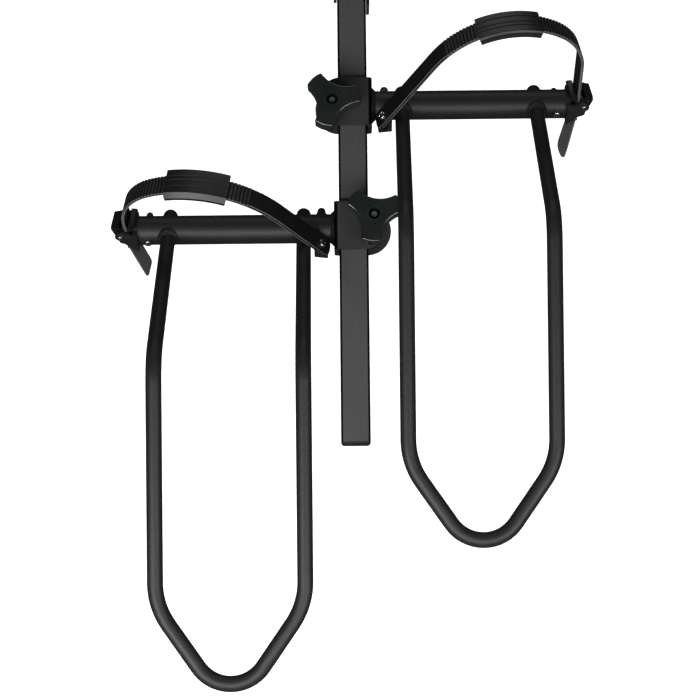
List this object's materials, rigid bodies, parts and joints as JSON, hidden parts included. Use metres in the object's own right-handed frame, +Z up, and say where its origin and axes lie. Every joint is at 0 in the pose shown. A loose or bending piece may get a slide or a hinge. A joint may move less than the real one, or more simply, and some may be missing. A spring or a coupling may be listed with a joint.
{
  "type": "hitch bike rack arm",
  "caption": "Folding square-bar arm of a hitch bike rack with sliding wheel holders: bent tube hoops, hand-knob clamps and ratchet straps.",
  "frame": {"origin": "middle of the four hub bolts, on the bracket's hub face", "axes": "+Y out of the hub face into the hub, +Z up with the arm down, +X across the bar to the holder nearer the hub; the bar's free end is at -Y"},
  "size_m": [0.5308, 0.858, 0.241],
  "materials": {
    "arm_paint": "fine-textured satin black powder coat",
    "holder_paint": "satin black powder coat",
    "black_zinc": "black zinc, satin",
    "zinc": "bright zinc plate",
    "knob_plastic": "glossy moulded black",
    "cap_plastic": "matt moulded black",
    "strap_plastic": "matt black polyurethane",
    "pad_rubber": "soft black rubber",
    "bearing_plastic": "natural acetal"
  },
  "bodies": {
    "hub": {"hinge_bracket": "arm_paint", "pivot_bolt": "black_zinc", "pivot_nut": "black_zinc", "pivot_washers": "bearing_plastic"},
    "arm": {"arm_bar": "arm_paint", "bar_end_cap": "cap_plastic", "pivot_bush": "bearing_plastic"},
    "left_holder": {"left_clamp_bracket": "holder_paint", "left_clamp_bolt": "zinc", "left_cross_tube": "holder_paint", "left_wheel_hoop": "holder_paint", "left_hoop_welds": "holder_paint", "left_hoop_plugs": "cap_plastic", "left_strap": "strap_plastic", "left_strap_screw": "zinc", "left_strap_lug": "cap_plastic", "left_lug_screw": "zinc", "left_lug_nut": "black_zinc", "left_buckle_base": "black_zinc", "left_buckle_pin": "zinc", "left_buckle_pin_nut": "zinc", "left_anchor_block": "cap_plastic", "left_anchor_bolt": "black_zinc", "left_anchor_nut": "black_zinc"},
    "left_pad": {"left_strap_pad": "pad_rubber"},
    "left_washer": {"left_clamp_washer": "black_zinc"},
    "left_knob": {"left_knob": "knob_plastic", "left_knob_insert": "black_zinc"},
    "left_lever": {"left_ratchet_lever": "black_zinc"},
    "left_drive_pawl": {"left_drive_pawl": "zinc"},
    "left_holding_pawl": {"left_holding_pawl": "zinc"},
    "right_holder": {"right_clamp_bracket": "holder_paint", "right_clamp_bolt": "zinc", "right_cross_tube": "holder_paint", "right_wheel_hoop": "holder_paint", "right_hoop_welds": "holder_paint", "right_hoop_plugs": "cap_plastic", "right_strap": "strap_plastic", "right_strap_screw": "zinc", "right_strap_lug": "cap_plastic", "right_lug_screw": "zinc", "right_lug_nut": "black_zinc", "right_buckle_base": "black_zinc", "right_buckle_pin": "zinc", "right_buckle_pin_nut": "zinc", "right_anchor_block": "cap_plastic", "right_anchor_bolt": "black_zinc", "right_anchor_nut": "black_zinc"},
    "right_pad": {"right_strap_pad": "pad_rubber"},
    "right_washer": {"right_clamp_washer": "black_zinc"},
    "right_knob": {"right_knob": "knob_plastic", "right_knob_insert": "black_zinc"},
    "right_lever": {"right_ratchet_lever": "black_zinc"},
    "right_drive_pawl": {"right_drive_pawl": "zinc"},
    "right_holding_pawl": {"right_holding_pawl": "zinc"}
  },
  "joints": [
    {"name": "arm_fold", "type": "hinge", "parent": "hub", "child": "arm", "pos_m": [0, -0.046, 0], "axis": [-1, 0, 0], "range_deg": [0, 90]},
    {"name": "left_holder_slide", "type": "slide", "parent": "arm", "child": "left_holder", "axis": [0, 1, 0], "range_m": [-0.19, 0.02]},
    {"name": "left_washer_lift", "type": "slide", "parent": "left_holder", "child": "left_washer", "axis": [0, 0, 1], "range_m": [0, 0.0038]},
    {"name": "left_knob_turn", "type": "hinge", "parent": "left_washer", "child": "left_knob", "pos_m": [0.022, -0.365, 0.03], "axis": [0, 0, 1], "range_deg": [0, 1080]},
    {"name": "left_pad_slide", "type": "hinge", "parent": "left_holder", "child": "left_pad", "pos_m": [-0.16304, -0.3901, -0.01489], "axis": [0.1286, 0.8988, -0.4191], "range_deg": [-3.95, 3.95]},
    {"name": "left_lever_swing", "type": "hinge", "parent": "left_holder", "child": "left_lever", "pos_m": [-0.25206, -0.36651, 0.00839], "axis": [-0.1286, -0.8988, 0.4191], "range_deg": [0, 38]},
    {"name": "left_drive_pawl_lift", "type": "hinge", "parent": "left_lever", "child": "left_drive_pawl", "pos_m": [-0.25662, -0.3647, 0.01086], "axis": [-0.1286, -0.8988, 0.4191], "range_deg": [0, 20], "stiffness_Nm_per_rad": 0.02, "springref_deg": -8.59},
    {"name": "left_holding_pawl_lift", "type": "hinge", "parent": "left_holder", "child": "left_holding_pawl", "pos_m": [-0.25186, -0.37165, -0.00257], "axis": [-0.1286, -0.8988, 0.4191], "range_deg": [0, 20], "stiffness_Nm_per_rad": 0.02, "springref_deg": -8.59},
    {"name": "right_holder_slide", "type": "slide", "parent": "arm", "child": "right_holder", "axis": [0, 1, 0], "range_m": [-0.01, 0.07]},
    {"name": "right_washer_lift", "type": "slide", "parent": "right_holder", "child": "right_washer", "axis": [0, 0, 1], "range_m": [0, 0.0038]},
    {"name": "right_knob_turn", "type": "hinge", "parent": "right_washer", "child": "right_knob", "pos_m": [-0.022, -0.239, 0.03], "axis": [0, 0, 1], "range_deg": [0, 1080]},
    {"name": "right_pad_slide", "type": "hinge", "parent": "right_holder", "child": "right_pad", "pos_m": [0.16535, -0.22757, 0.03083], "axis": [0.1286, -0.8588, 0.4959], "range_deg": [-4.68, 4.68]},
    {"name": "right_lever_swing", "type": "hinge", "parent": "right_holder", "child": "right_lever", "pos_m": [0.25206, -0.22779, 0.00796], "axis": [-0.1286, 0.8588, -0.4959], "range_deg": [0, 38]},
    {"name": "right_drive_pawl_lift", "type": "hinge", "parent": "right_lever", "child": "right_drive_pawl", "pos_m": [0.25662, -0.22578, 0.01027], "axis": [-0.1286, 0.8588, -0.4959], "range_deg": [0, 20], "stiffness_Nm_per_rad": 0.02, "springref_deg": -8.59},
    {"name": "right_holding_pawl_lift", "type": "hinge", "parent": "right_holder", "child": "right_holding_pawl", "pos_m": [0.25186, -0.23387, -0.0025], "axis": [-0.1286, 0.8588, -0.4959], "range_deg": [0, 20], "stiffness_Nm_per_rad": 0.02, "springref_deg": -8.59}
  ],
  "couplings": [
    {"joint": "left_washer_lift", "follows": "left_knob_turn", "m_per_rad": 0.00019894},
    {"joint": "right_washer_lift", "follows": "right_knob_turn", "m_per_rad": 0.00019894}
  ]
}
